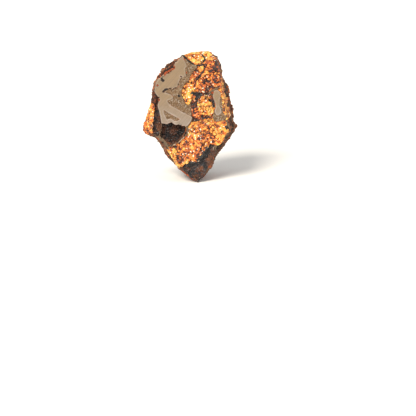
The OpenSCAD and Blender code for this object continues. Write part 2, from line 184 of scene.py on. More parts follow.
# Marks on the cut face: half width and the points they run through, x and z in millimetres
SOOT_MARKS = [
    (0.14, [(1.05, 12.7), (1.3, 13.5), (2.0, 13.9), (2.75, 13.65), (3.1, 12.9)]),
    (0.17, [(-4.1, 17.4), (-3.4, 17.9), (-2.7, 18.3)]),
    (0.14, [(-2.2, 19.3), (-2.1, 19.3)]),
    (0.14, [(-0.8, 19.9), (-0.8, 19.8)]),
    (0.2, [(-4.4, 16.4), (-4.2, 16.2)]),
    (0.14, [(-4.9, 13.5), (-4.8, 13.5)]),
    (0.14, [(-4.1, 14.4), (-3.9, 14.7), (-3.5, 14.8)]),
    (0.12, [(-3.05, 14.85), (-3.0, 14.85)]),
    (0.12, [(-2.55, 14.8), (-2.5, 14.8)]),
    (0.12, [(-2.3, 15.0), (-2.25, 15.0)]),
    (0.13, [(-1.3, 16.75), (-1.3, 16.7)]),
    (0.14, [(-1.1, 20.1), (-0.3, 19.3), (0.9, 18.4), (2.0, 18.6)]),
    (0.16, [(2.1, 19.1), (2.3, 19.6), (1.9, 20.1)]),
    (0.16, [(1.2, 16.3), (1.6, 17.0), (2.1, 17.6)]),
    (0.17, [(-1.75, 13.8), (-1.7, 13.7)]),
    (0.16, [(-0.4, 15.9), (-0.3, 15.9)]),
    (0.22, [(0.3, 14.2), (0.9, 14.2)]),
    (0.17, [(3.6, 11.6), (3.6, 11.5)]),
    (0.17, [(3.25, 10.35), (3.2, 10.3)]),
    (0.14, [(0.4, 9.7), (0.4, 9.6)]),
    (0.18, [(5.3, 7.3), (5.4, 7.2)]),
    (0.16, [(5.3, 11.5), (5.3, 11.4)]),
    (0.2, [(5.6, 8.9), (6.1, 8.3)]),
    (0.15, [(0.9, 13.2), (1.2, 13.9), (2.2, 14.2), (2.9, 13.9), (3.5, 12.9), (3.7, 11.9)]),
    (0.5, [(-0.1, 2.8), (1.2, 3.4), (2.3, 4.2), (2.9, 5.8)]),
]
RED_MARKS = [
    (0.24, [(-3.9, 17.1), (-3.2, 17.6), (-2.5, 18.2)]),
    (0.15, [(-4.3, 17.6), (-4.25, 17.55)]),
    (0.15, [(-4.6, 16.8), (-4.55, 16.8)]),
    (0.11, [(-0.9, 19.5), (-0.85, 19.5)]),
    (0.11, [(-1.8, 15.2), (-1.75, 15.2)]),
    (0.11, [(-1.6, 16.1), (-1.55, 16.1)]),
    (0.15, [(3.4, 14.2), (3.45, 14.2)]),
    (0.14, [(-1.8, 2.3), (-1.0, 1.5), (0.3, 0.5)]),
    (0.11, [(-5.0, 15.4), (-4.95, 15.4)]),
    (0.14, [(-4.8, 13.1), (-4.75, 13.1)]),
    (0.075, [(-0.5, 17.5), (-0.5, 17.3)]),
]
EARTH_MARKS = [
    (0.65, [(2.9, 4.7), (3.1, 3.8)]),
    (0.45, [(1.6, 2.3), (1.7, 2.1)]),
    (0.4, [(0.5, 1.3), (1.2, 0.7)]),
    (0.4, [(-4.7, 9.2), (-4.9, 7.9)]),
]
# Tan marks: partly chips and rims, partly painted glints where the cut face shines
PALE_AND_GLINT_MARKS = [
    (0.16, [(-3.25, 8.8), (-3.2, 8.9)]),
    (0.11, [(-4.3, 8.1), (-4.1, 7.2)]),
    (0.1, [(-3.0, 5.9), (-2.95, 5.9)]),
    (0.13, [(-0.8, 8.9), (-0.6, 8.3), (-1.0, 7.3), (-1.7, 6.5), (-2.4, 6.1)]),
    (0.1, [(-2.75, 14.9), (-2.7, 14.9)]),
    (0.1, [(-1.4, 16.95), (-1.35, 16.95)]),
    (0.09, [(-4.6, 16.4), (-4.55, 16.4)]),
    (0.09, [(1.15, 3.35), (1.4, 3.45)]),
    (0.08, [(3.6, 5.6), (3.7, 4.9), (3.9, 4.2)]),
    (0.14, [(1.4, 0.8), (1.45, 0.8)]),
]

# ---------------------------------------------------------------- the sizes and colours


def linear(code):
    """A colour for the shaders from its six-figure web code."""
    parts = [int(code[i:i + 2], 16) / 255 for i in (0, 2, 4)]
    return tuple(
        part / 12.92 if part <= 0.04045 else ((part + 0.055) / 1.055) ** 2.4 for part in parts)


# Shades of small marks and flecks, and of the painted glints, the painted sparkles and the painted shade in
# gaps
SHADES = {
    "earth": linear("6E4226"),
    "red_rust": linear("6A1F0A"),
    "orange_rust": linear("C45A22"),
    "soot": linear("120C0B"),
    "pale_chip_and_painted_glint": linear("C2AE94"),
    "scratch": linear("7E7466"),
    "metal_pit": linear("6A5E50"),
    "plessite_pale": linear("A3927C"),
    # Tan of the chips and rims, also used for painted glints on the cut face
    "plessite_fleck": linear("B0A598"),
    # Near-white painted glints on olivine, standing in for highlights
    "painted_glint": linear("FFF3D6"),
    "oxide_black": linear("151314"),
    # Grey painted sparkles on the oxide, standing in for highlights
    "oxide_painted_sparkle": linear("77716E"),
    # Painted shade in the oxide's gaps and on its sunk crumbs
    "oxide_gap_shade": linear("0A0808"),
    "rust_black": linear("150B08"),
    # Painted shade in the rust's gaps and on its sunk crumbs
    "rust_gap_shade": linear("160B08"),
    "rust_fleck": linear("E08A3E"),
    "cut_skeleton": linear("6F5D48"),
}


def length(name, description, default, low, high):
    """A size in millimetres that a user may change."""
    return FloatProperty(name=name, description=description, default=default, min=low, max=high)


def colour(name, description, code):
    """A colour that a user may change."""
    return FloatVectorProperty(
        name=name, description=description, default=linear(code), subtype="COLOR", size=3, min=0, max=1)


class StoneSizes(bpy.types.PropertyGroup):
    """Sizes of the relief, in millimetres."""

    cell: length("Mesh Cell", "Cell of the remade meshes", 0.085, 0.05, 0.3)
    skin_cell: length("Skeleton Cell", "Cell of the metal skeleton's mesh", 0.12, 0.08, 0.3)
    swell: length("Swell", "How far each grain reaches into its neighbours", 0.05, 0.0, 0.1)
    sugar: length("Sugar Grain", "Size of the grains that olivine breaks into", 0.5, 0.15, 0.8)
    sugar_depth: length("Sugar Relief", "Height of olivine's relief", 0.27, 0.0, 0.4)
    flake: length("Flake", "Size of the flakes on the weathered skin", 1.1, 0.4, 2.0)
    flake_depth: length("Flake Relief", "Height of the weathered skin's relief", 0.22, 0.0, 0.5)


class StoneColours(bpy.types.PropertyGroup):
    """Colours of the minerals."""

    kamacite: colour("Kamacite", "Cut nickel-iron", "A38B70")
    kamacite_lilac: colour("Kamacite, Lower", "Cut nickel-iron where it turns lilac", "A8988C")
    rim: colour("Kamacite Rim", "Pale border of the cut nickel-iron", "C9BEB6")
    plessite: colour("Plessite", "Fine metal between the bands", "86694C")
    # Darkest grains of plessite and spots on the cut skeleton, and also the painted shade along plessite's
    # grain borders
    plessite_dark_and_gap_shade: colour("Plessite, Dark", "Dark grains of the fine metal", "4E3B2A")
    olivine_pale: colour("Olivine, Pale", "Palest olivine", "F4BE5C")
    olivine_yellow: colour("Olivine, Yellow", "Yellow olivine", "EA9232")
    olivine_orange: colour("Olivine, Orange", "Orange olivine", "D2621A")
    olivine_red: colour("Olivine, Red", "Stained olivine", "6E2C0C")
    # Darkest olivine, the foot of its tone range and its seams, and also the painted shade in its gaps and
    # on sunk facets
    olivine_dark_and_gap_shade: colour("Olivine, Dark", "Gaps between the grains", "1E0803")
    oxide: colour("Oxide", "Blue-black oxide", "27272A")
    oxide_brown: colour("Oxide, Brown", "Brown stain on the oxide", "5A3018")
    rust: colour("Rust", "Red-brown rust", "42210F")
    rust_bright: colour("Rust, Bright", "Orange rust", "8C4218")
    skin: colour("Skin", "Brown skin of the weathered metal", "4A3122")
    skin_pale: colour("Skin, Pale", "Worn patches of the skin", "7A6048")
    # Blackish specks of the skin, and the painted shade in its hollows
    skin_dark_and_hollow_shade: colour("Skin, Dark", "Hollows of the skin", "1A0F0A")


class StoneStudio(bpy.types.PropertyGroup):
    """The camera and the lights."""

    focal: FloatProperty(name="Focal Length", description="Lens of the camera", default=204.9, unit="CAMERA")
    sky: FloatProperty(name="Sky", description="Strength of the even white light", default=0.6)
    key: FloatProperty(name="Key", description="Strength of the warm light", default=3.9)
    fill: FloatProperty(name="Fill", description="Strength of the light from the right", default=0.35)


# ---------------------------------------------------------------- noise in space


def hashed(cells, seed):
    """A fixed number from 0 to 1 for each cell of whole numbers. The large numbers only scramble it."""
    mixed = cells[..., 0] * 73856093 ^ cells[..., 1] * 19349663 ^ cells[..., 2] * 83492791
    mixed = (mixed + seed * 974711) & 0x7FFFFFFF
    mixed = ((mixed ^ mixed >> 13) * 1274126177) & 0x7FFFFFFF
    mixed = ((mixed ^ mixed >> 15) * 668265263) & 0x7FFFFFFF
    return (mixed ^ mixed >> 16) % 65536 / 65535


def smooth(low, high, values):
    """0 below low, 1 above high, and an easy curve between."""
    share = np.clip((values - low) / (high - low), 0, 1)
    return share * share * (3 - 2 * share)


def cloud(points, size, seed, octaves=4):
    """Soft noise from 0 to 1, with finer and finer layers."""
    total, weight, full = np.zeros(len(points)), 1.0, 0.0
    for octave in range(octaves):
        place = points / size * 2 ** octave
        home = np.floor(place).astype(np.int64)
        part = place - home
        part = part * part * (3 - 2 * part)
        layer = np.zeros(len(points))
        for corner in itertools.product((0, 1), repeat=3):
            share = np.prod(np.where(corner, part, 1 - part), axis=1)
            layer += share * hashed(home + corner, seed + octave)
        total += weight * layer
        full += weight
        weight *= 0.5
    return total / full


def crumble(points, size, seed):
    """Breaks space into angular grains. Gives each point's grain number from 0 to 1,
    the height of its tilted facet from 0 to 1, and its distance from the grain's border."""
    bend = np.stack([cloud(points, 1.6 * size, seed + 8 + axis, 2) for axis in range(3)], axis=1)
    place = points / size + 1.1 * (bend - 0.5)
    home = np.floor(place).astype(np.int64)
    nearest, second = np.full(len(points), 9.0), np.full(len(points), 9.0)
    owner, middle = home.copy(), place.copy()
    for step in itertools.product((-1, 0, 1), repeat=3):
        cell = home + step
        centre = cell + np.stack([hashed(cell, seed + axis) for axis in range(3)], axis=1)
        away = np.linalg.norm(place - centre, axis=1)
        closer = away < nearest
        second = np.where(closer, nearest, np.minimum(second, away))
        nearest = np.where(closer, away, nearest)
        owner[closer], middle[closer] = cell[closer], centre[closer]
    tilt = np.stack([hashed(owner, seed + 3 + axis) for axis in range(3)], axis=1) * 2 - 1
    number = hashed(owner, seed + 6)
    facet = 0.5 + 0.45 * (number - 0.5) + 0.9 * np.sum((place - middle) * tilt, axis=1)
    return hashed(owner, seed + 7), np.clip(facet, 0, 1), (second - nearest) * size


def near_marks(points, marks):
    """How much each point of the cut face lies on one of the marks, from 0 to 1."""
    flat = points[:, (0, 2)]
    wobble = 2 * (cloud(points, 0.4, PATTERNS["mark_edges"], 3) - 0.5)
    found = np.zeros(len(points))
    for half_width, line in marks:
        for start, end in zip(line[:-1], line[1:]):
            start, along = np.array(start), np.subtract(end, start)
            share = np.clip((flat - start) @ along / (along @ along), 0, 1)
            away = np.linalg.norm(flat - start - share[:, None] * along, axis=1) / half_width
            found = np.maximum(found, 1 - smooth(0.6, 1.25, away + wobble))
    broken = smooth(0.28, 0.5, cloud(points, 0.7, PATTERNS["mark_breaks"], 3))
    return found * broken * (points[:, 1] < CUT_FACE + MARK_REACH)


# ---------------------------------------------------------------- meshes


def array_of(mesh, what):
    """The places or normals of a mesh's vertices, one row each."""
    values = np.empty(len(mesh.vertices) * 3)
    mesh.vertices.foreach_get(what, values)
    return values.reshape(-1, 3)


def even_mesh(nodes, cell):
    """One mesh in millimetres round the solids of the nodes, made of even cells."""
    shapes = []
    for node in nodes:
        shape = bpy.data.objects.new("even", frame["nodes"][node].data.copy())
        shape.data.transform(Matrix.Scale(1 / MM, 4))
        bpy.context.scene.collection.objects.link(shape)
        shapes.append(shape)
    if len(shapes) > 1:
        with bpy.context.temp_override(
                active_object=shapes[0], selected_editable_objects=shapes, selected_objects=shapes):
            bpy.ops.object.join()
    shape = shapes[0]
    cells = shape.modifiers.new("cells", "REMESH")
    cells.mode = "VOXEL"
    cells.voxel_size = cell
    graph = bpy.context.evaluated_depsgraph_get()
    mesh = bpy.data.meshes.new_from_object(shape.evaluated_get(graph))
    bpy.data.objects.remove(shape)
    return mesh


class Skin:
    """The outside of the whole stone: which way is out, and how deep a point lies."""

    # Cell of its mesh, in millimetres
    CELL = 0.25

    def __init__(self):
        mesh = even_mesh(sorted(frame["nodes"]), self.CELL)
        self.places, self.normals = array_of(mesh, "co"), array_of(mesh, "normal")
        self.tree = KDTree(len(self.places))
        for number, place in enumerate(self.places):
            self.tree.insert(place, number)
        self.tree.balance()

    def look(self, points):
        """The outward direction and the depth of each point."""
        near = np.array([[found[1] for found in self.tree.find_n(point, 4)] for point in points])
        out = self.normals[near].sum(axis=1)
        out /= np.linalg.norm(out, axis=1)[:, None]
        depth = -np.sum((points - self.places[near].mean(axis=1)) * out, axis=1)
        return out, depth


_skin = []


def skin():
    """The stone's outside, worked out once."""
    if not _skin:
        _skin.append(Skin())
    return _skin[0]


def grow(node, cell):
    """A finer copy of a node, a little swollen. Gives its mesh and, for each vertex, its place, the way
    out of the stone, its depth in the stone, and how much it lies at the side and on the cut face."""
    mesh = even_mesh([node], cell)
    normals = array_of(mesh, "normal")
    places = array_of(mesh, "co") + bpy.context.scene.stone_sizes.swell * normals
    out, depth = skin().look(places)
    side = smooth(-0.97, -0.85, out[:, 1])
    out[:, 1] *= np.where(side > 0, smooth(0.0, 0.6, places[:, 1] - CUT_FACE), 1)
    out[side == 0] = (0, -1, 0)
    out /= np.maximum(np.linalg.norm(out, axis=1), 1e-6)[:, None]
    flat = 1 - smooth(0.05, 0.16, places[:, 1] - CUT_FACE)
    cut = smooth(0.5, 0.85, -normals[:, 1]) * flat
    return mesh, places, out, depth, side, cut


def weathered(points):
    """Depth of the weathered skin's hollows, and how much painted shade darkens them, following their depth,
    with a random tone for each small flake. Shared by every grain.
    """
    sizes = bpy.context.scene.stone_sizes
    _, facet, _ = crumble(points, sizes.flake, PATTERNS["flakes"])
    small_number, small_facet, _ = crumble(points, 0.42 * sizes.flake, PATTERNS["small_flakes"])
    rough = cloud(points, 1.3, PATTERNS["roughness"], 5)
    pits = smooth(0.56, 0.74, cloud(points, 0.75, PATTERNS["pits"], 3))
    lumps = cloud(points, 4.2, PATTERNS["lumps"], 2) - 0.5
    lumps = lumps * smooth(1.5, 3.5, points[:, 1] - CUT_FACE)
    depth = sizes.flake_depth * (
        0.9 * (1 - facet) + 0.75 * (1 - small_facet) + 0.9 * (rough - 0.3) + 0.9 * pits)
    # Painted shade: darker where pits, roughness and small flakes sink the skin, with a random tone for each
    # flake
    dark = 0.8 * pits + 1.8 * (rough - 0.45) + 0.5 * (1 - small_facet) + 0.3 * (small_number - 0.5)
    return depth + 0.8 * lumps - 0.1, np.clip(dark, 0, 1)


def drift(points):
    """A slow wander of the shapes behind the cut face, with a slight pull forward at the back. Every
    grain shares it, so that they still meet."""
    behind = smooth(0.3, 3.0, points[:, 1] - CUT_FACE) * smooth(0.2, 1.6, points[:, 2])
    reaches = (0.9, 1.5, 1.1)
    seeds = itertools.count(PATTERNS["drift"])
    wander = [reach * (cloud(points, 2.3, seed, 3) - 0.5) for reach, seed in zip(reaches, seeds)]
    wander[1] = wander[1] - 0.4 * smooth(4.0, 8.0, points[:, 1] - CUT_FACE)
    return np.stack(wander, axis=1) * behind[:, None]


def carve(places, out, depth, sunk):
    """Moves points inward by sunk, less and less with depth, and keeps the foot and cut plane true."""
    sunk = sunk * np.clip(1 - depth / HOLLOW_REACH, 0, 1)
    level = np.ones_like(places)
    level[:, 2] = smooth(0.0, 0.3, places[:, 2])
    places = places - out * level * sunk[:, None] + drift(places)
    places[:, 1] = np.maximum(places[:, 1], CUT_FACE)
    places[:, 2] = np.maximum(places[:, 2], 0)
    return places


def cover(places, side, start, end):
    """How much of the weathered skin lies over a grain of the cut face: none before the start depth, and
    all of it past the end depth."""
    ragged = 2.4 * (cloud(places, 1.5, PATTERNS["skin_edge"], 4) - 0.5)
    behind = places[:, 1] - CUT_FACE + ragged * (end - start)
    return side * smooth(start, end, behind)


def settle(node, mesh, places, material, facets, **fields):
    """Makes the piece that stands for a node, with its fields for the finish."""
    mesh.vertices.foreach_set("co", (places * MM).ravel())
    for name, values in fields.items():
        field = mesh.attributes.new(name, "FLOAT", "POINT")
        field.data.foreach_set("value", np.asarray(values, np.float32))
    mesh.name = node + "_grain"
    mesh.materials.clear()
    mesh.materials.append(material)
    mesh.polygons.foreach_set("use_smooth", [not facets] * len(mesh.polygons))
    mesh.update()
    piece = bpy.data.objects.new(node + "_grain", mesh)
    bpy.context.scene.collection.objects.link(piece)
    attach(piece, "root")
    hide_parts(node)


# ---------------------------------------------------------------- finishes


def opaque(shade):
    """A colour with nothing of it see-through, or the socket that a colour comes from."""
    return shade if isinstance(shade, bpy.types.NodeSocket) else (*shade, 1)


class Channel:
    """A number that varies over a surface, so that maths on it is written as an expression."""

    def __init__(self, finish, socket):
        self.finish, self.socket = finish, socket

    def _math(self, operation, first, second, clamp=False):
        settings = {"operation": operation, "use_clamp": clamp}
        made = self.finish.node("ShaderNodeMath", settings, {0: first, 1: second})
        return Channel(self.finish, made.outputs[0])

    def __add__(self, other):
        return self._math("ADD", self, other)

    def __radd__(self, other):
        return self._math("ADD", other, self)

    def __sub__(self, other):
        return self._math("SUBTRACT", self, other)

    def __rsub__(self, other):
        return self._math("SUBTRACT", other, self)

    def __mul__(self, other):
        return self._math("MULTIPLY", self, other)

    def __rmul__(self, other):
        return self._math("MULTIPLY", other, self)

    def clamped(self):
        """The same number, kept between 0 and 1."""
        return self._math("ADD", self, 0.0, clamp=True)

    def over(self, low, high):
        """0 below low, 1 above high, and an easy curve between."""
        made = self.finish.node(
            "ShaderNodeMapRange",
            {"interpolation_type": "SMOOTHSTEP"},
            {"Value": self, "From Min": low, "From Max": high},
        )
        return Channel(self.finish, made.outputs[0])


class Nodes:
    """A node tree, and the one way in which nodes are added to it."""

    def __init__(self, tree):
        self.tree = tree

    def node(self, kind, settings=None, inputs=None):
        """Adds a node: its settings first, then the values or links of its sockets."""
        made = self.tree.nodes.new(kind)
        for name, value in (settings or {}).items():
            if name == "stops":
                ramp = made.color_ramp
                while len(ramp.elements) < len(value):
                    ramp.elements.new(0.5)
                for element, (position, shade) in zip(ramp.elements, value):
                    element.position, element.color = position, opaque(shade)
            else:
                setattr(made, name, value)
        return self.feed(made, inputs or {})

    def feed(self, node, inputs):
        """Gives values or links to a node's sockets."""
        for name, value in inputs.items():
            if isinstance(value, Channel):
                value = value.socket
            if isinstance(value, bpy.types.NodeSocket):
                self.tree.links.new(value, node.inputs[name])
            else:
                node.inputs[name].default_value = value
        return node


class Finish(Nodes):
    """The nodes of one finish. Its coordinates are in millimetres."""

    def __init__(self, name, **constants):
        self.material = bpy.data.materials.new(name)
        self.material.use_nodes = True
        super().__init__(self.material.node_tree)
        self.tree.nodes.clear()
        self.shader = self.node("ShaderNodeBsdfPrincipled", {}, constants)
        self.node("ShaderNodeOutputMaterial", {}, {"Surface": self.shader.outputs[0]})
        coordinates = self.node("ShaderNodeTexCoord").outputs["Object"]
        self.place = self.node(
            "ShaderNodeVectorMath", {"operation": "SCALE"}, {0: coordinates, "Scale": 1 / MM}).outputs[0]

    def field(self, name):
        """A field that the mesh holds at its vertices."""
        return Channel(self, self.node("ShaderNodeAttribute", {"attribute_name": name}).outputs["Fac"])

    def noise(self, size, detail=3.0, place=None):
        """Soft noise, from 0 to 1, of a size in millimetres."""
        made = self.node("ShaderNodeTexNoise", {}, {
            "Vector": place or self.place, "Scale": 1 / size, "Detail": detail, "Roughness": 0.6})
        return Channel(self, made.outputs[0])

    def grains(self, size):
        """Two numbers from 0 to 1 for each grain of a size in millimetres."""
        made = self.node("ShaderNodeTexVoronoi", {}, {"Vector": self.place, "Scale": 1 / size})
        parts = self.node("ShaderNodeSeparateColor", {}, {0: made.outputs["Color"]})
        return Channel(self, parts.outputs[0]), Channel(self, parts.outputs[1])

    def borders(self, size):
        """Distance from the borders of grains of a size in millimetres, as a share of it."""
        made = self.node("ShaderNodeTexVoronoi", {"feature": "DISTANCE_TO_EDGE"}, {
            "Vector": self.place, "Scale": 1 / size})
        return Channel(self, made.outputs[0])

    def ramp(self, channel, stops):
        """A colour for each value of a channel."""
        return self.node("ShaderNodeValToRGB", {"stops": stops}, {0: channel}).outputs[0]

    def mix(self, first, second, factor):
        """One colour turning into another. The node keeps its two colours in sockets 6 and 7."""
        made = self.node(
            "ShaderNodeMix", {"data_type": "RGBA"}, {0: factor, 6: opaque(first), 7: opaque(second)})
        return made.outputs[2]

    def turned(self, angle, stretch):
        """Coordinates turned in the plane of the cut face and stretched along their first axis."""
        return self.node("ShaderNodeMapping", {"vector_type": "TEXTURE"}, {
            "Vector": self.place,
            "Rotation": (0, math.radians(angle), 0),
            "Scale": (stretch, 1, 1),
        }).outputs[0]

    def wear(self, height, depth, **sockets):
        """Feeds the shader's sockets, and its normal from a height with a depth in millimetres."""
        bump = self.node("ShaderNodeBump", {}, {"Strength": 1.0, "Distance": depth * MM, "Height": height})
        spaced = {name.replace("_", " "): value for name, value in sockets.items()}
        self.feed(self.shader, {"Normal": bump.outputs[0], **spaced})
        return self.material


def skin_shade(finish, colours):
    """Colour and height of the weathered skin: brown, with worn paler patches, painted shade in its hollows,
    blackish specks and rust.
    """
    patch = finish.noise(2.4, 6.0)
    speck = finish.noise(0.2, 4.0)
    number, other = finish.grains(0.28)
    hollow = finish.field("hollow")
    worn = (patch + speck * 0.5 + number * 0.3).over(0.78, 1.02)
    shade = finish.mix(colours.skin, colours.skin_pale, worn)
    rusty = (finish.noise(1.3, 5.0) + speck * 0.3 + other * 0.22).over(0.68, 0.84)
    shade = finish.mix(shade, colours.rust_bright, rusty * 0.6)
    amber = (finish.noise(0.9, 5.0) + speck * 0.2 + number * 0.2).over(0.78, 0.86)
    shade = finish.mix(shade, colours.olivine_orange, amber * 0.75)
    # Painted shade in the hollows, mixed with blackish specks
    dark = (hollow * 0.7 + speck * 0.8 + other * 0.2 - 0.5).over(0.1, 0.6)
    shade = finish.mix(shade, colours.skin_dark_and_hollow_shade, dark)
    return shade, speck + number * 0.4


def marked(finish, shade):
    """Adds the earthy, rusty and sooty marks of the cut face to a colour, and its tan marks, which are
    partly chips and rims and partly painted glints.
    """
    ragged = finish.noise(0.3, 4.0)
    fine = finish.noise(0.12, 3.0)
    earth = (finish.field("earth") * 0.5 + ragged - 0.84).over(0.0, 0.2)
    shade = finish.mix(shade, SHADES["earth"], earth * 0.8)
    red = (finish.field("red") + (fine - 0.5) * 1.2).over(0.3, 0.6)
    rust = finish.mix(SHADES["red_rust"], SHADES["orange_rust"], fine.over(0.4, 0.62))
    shade = finish.mix(shade, rust, red * 0.9)
    soot = (finish.field("soot") + (fine - 0.5) * 0.8 + (ragged - 0.5) * 0.9).over(0.3, 0.6)
    shade = finish.mix(shade, SHADES["soot"], soot)
    # Tan marks: chips and rims, and painted glints standing in for highlights
    pale = (finish.field("pale") + (fine - 0.5) * 0.8).over(0.3, 0.65)
    return finish.mix(shade, SHADES["pale_chip_and_painted_glint"], pale * 0.8)


def kamacite_finish():
    """Cut nickel-iron: satin, finely scratched, paler along its rims, with a brown skin outside."""
    colours = bpy.context.scene.stone_colours
    finish = Finish("kamacite", **{"Specular IOR Level": 0.5})
    up = Channel(finish, finish.node("ShaderNodeSeparateXYZ", {}, {0: finish.place}).outputs[2])
    tint = (finish.noise(2.2, 2.0) * 0.6 + up * -0.11 + 1.45).over(0.2, 0.9)
    shade = finish.mix(colours.kamacite, colours.kamacite_lilac, tint)
    scratch = finish.noise(0.1, 3.0, finish.turned(-48, 60))
    fine = finish.noise(0.12, 3.0)
    shade = finish.mix(shade, SHADES["scratch"], (scratch + fine * 0.3 - 0.3).over(0.22, 0.5) * 0.4)
    shade = finish.mix(shade, colours.rim, finish.field("rim") * (0.25 + tint * 0.35))
    pits = 1 - finish.borders(0.9).over(0.0, 0.02)
    shade = finish.mix(shade, SHADES["metal_pit"], pits * finish.noise(0.7, 2.0).over(0.5, 0.62) * 0.4)
    shade = marked(finish, shade)
    outer, rough = skin_shade(finish, colours)
    cut = finish.field("cut")
    clean = cut * (1 - finish.field("soot")) * (1 - finish.field("red"))
    return finish.wear(
        scratch * 0.25 * cut + rough * (1 - cut), 0.05,
        Base_Color=finish.mix(outer, shade, cut),
        Metallic=clean * 0.9,
        Roughness=0.85 - clean * (0.44 + scratch * -0.08),
    )


def plessite_finish():
    """Fine metal between the bands: granular and dull brown-grey."""
    colours = bpy.context.scene.stone_colours
    finish = Finish("plessite", **{"Specular IOR Level": 0.5})
    number, other = finish.grains(0.16)
    speck = finish.noise(0.11, 3.0)
    patch = finish.noise(0.8, 3.0)
    tone = number * 0.5 + speck * 0.5 + patch * 0.4
    shade = finish.ramp((tone - 0.35).clamped(), [
        (0.0, colours.plessite_dark_and_gap_shade), (0.35, colours.plessite), (0.9, SHADES["plessite_pale"])])
    # Painted shade along the grain borders, which the bump sinks too
    gap = 1 - finish.borders(0.16).over(0.0, 0.09)
    shade = finish.mix(shade, colours.plessite_dark_and_gap_shade, gap * 0.45)
    shade = finish.mix(shade, SHADES["plessite_fleck"], other.over(0.86, 0.9) * 0.6)
    shade = marked(finish, shade)
    outer, _ = skin_shade(finish, colours)
    cut = finish.field("cut")
    clean = cut * (1 - finish.field("soot"))
    return finish.wear(
        number * 0.5 + speck * 0.6 - gap * 0.4, 0.035,
        Base_Color=finish.mix(outer, shade, cut),
        Metallic=clean * 0.6,
        Roughness=0.8 - clean * (0.3 - number * 0.15),
    )


def olivine_finish(name):
    """Sugary olivine: amber grains with darker seams, painted shade in its gaps, painted glints and a brown
    crust outside.
    """
    colours = bpy.context.scene.stone_colours
    finish = Finish(name, **{
        "Specular IOR Level": 0.4,
        "Coat Roughness": 0.12,
        "IOR": 1.66,
    })
    number, other = finish.grains(0.2)
    speck = finish.noise(0.12, 3.0)
    blotch = finish.noise(0.42, 2.0)
    grain, _ = finish.grains(0.42)
    tone = finish.field("tone") + (number - 0.5) * 0.25 + (speck - 0.5) * 0.5
    tone = tone + (blotch - 0.5) * 1.7 + (grain - 0.5) * 0.4
    shade = finish.ramp(tone.clamped(), [
        (0.0, colours.olivine_dark_and_gap_shade),
        (0.2, colours.olivine_red),
        (0.44, colours.olivine_orange),
        (0.72, colours.olivine_yellow),
        (1.0, colours.olivine_pale),
    ])
    seam = 1 - (finish.borders(0.34) + (speck - 0.5) * 0.12).over(0.02, 0.1)
    seam = seam * finish.noise(0.7, 3.0).over(0.42, 0.52)
    shade = finish.mix(shade, colours.olivine_dark_and_gap_shade, seam * 0.85)
    # Painted glints: near-white specks on a few grains of the brighter olivine, standing in for highlights
    painted_glint = other.over(0.95, 0.97) * finish.field("tone").over(0.1, 0.35)
    shade = finish.mix(shade, SHADES["painted_glint"], painted_glint * 0.85)
    # Painted shade in the gaps between grains and on sunk facets
    shade = finish.mix(shade, colours.olivine_dark_and_gap_shade, finish.field("gap").over(0.35, 0.95) * 0.8)
    shade = marked(finish, shade)
    outer, _ = skin_shade(finish, colours)
    crust = (finish.field("crust") + (finish.noise(0.4, 5.0) - 0.5) * 0.9).over(0.35, 0.62)
    return finish.wear(
        number * 0.6 + speck * 0.7, 0.05,
        Base_Color=finish.mix(shade, outer, crust),
        Roughness=0.42 + number * 0.3 + crust * 0.2,
        Coat_Weight=(1 - crust) * (number * 0.3),
    )


def oxide_finish():
    """Blue-black oxide: crumbly, with brown stains, painted sparkles that stand in for highlights, and
    painted shade in its gaps.
    """
    colours = bpy.context.scene.stone_colours
    finish = Finish("oxide", **{"Specular IOR Level": 0.4, "Coat Roughness": 0.15})
    number, other = finish.grains(0.17)
    speck = finish.noise(0.1, 3.0)
    patch = finish.noise(1.1, 4.0)
    shade = finish.mix(SHADES["oxide_black"], colours.oxide, (number * 0.6 + speck * 0.8).over(0.3, 1.0))
    stain = (patch + speck * 0.3 + number * 0.15).over(0.64, 0.82)
    shade = finish.mix(shade, colours.oxide_brown, stain * 0.85)
    # Painted sparkles: grey specks on a few grains, standing in for highlights
    shade = finish.mix(shade, SHADES["oxide_painted_sparkle"], other.over(0.89, 0.92) * 0.45)
    # Painted shade in the gaps and on sunk crumbs
    shade = finish.mix(shade, SHADES["oxide_gap_shade"], finish.field("gap").over(0.3, 0.9) * 0.7)
    shade = marked(finish, shade)
    outer, _ = skin_shade(finish, colours)
    crust = (finish.field("crust") + (speck - 0.5) * 0.6).over(0.35, 0.65)
    return finish.wear(
        number * 0.6 + speck * 0.7, 0.05,
        Base_Color=finish.mix(shade, outer, crust),
        Roughness=0.55 + speck * 0.3,
        Coat_Weight=number * 0.25,
    )


def rust_finish():
    """Rust: crumbly red-brown with bright orange and black specks."""
    colours = bpy.context.scene.stone_colours
    finish = Finish("rust", **{"Specular IOR Level": 0.4})
    number, _ = finish.grains(0.2)
    speck = finish.noise(0.13, 4.0)
    tone = number * 0.45 + speck * 0.9 - 0.3
    shade = finish.ramp(tone.clamped(), [
        (0.0, SHADES["rust_black"]),
        (0.4, colours.rust),
        (0.75, colours.rust_bright),
        (1.0, SHADES["rust_fleck"]),
    ])
    # Painted shade in the gaps and on sunk crumbs
    shade = finish.mix(shade, SHADES["rust_gap_shade"], finish.field("gap").over(0.3, 0.9) * 0.75)
    shade = marked(finish, shade)
    outer, _ = skin_shade(finish, colours)
    crust = (finish.field("crust") + (speck - 0.5) * 0.6).over(0.35, 0.65)
    return finish.wear(
        number * 0.5 + speck * 0.8, 0.06,
        Base_Color=finish.mix(shade, outer, crust),
        Roughness=0.6 + speck * 0.3,
    )


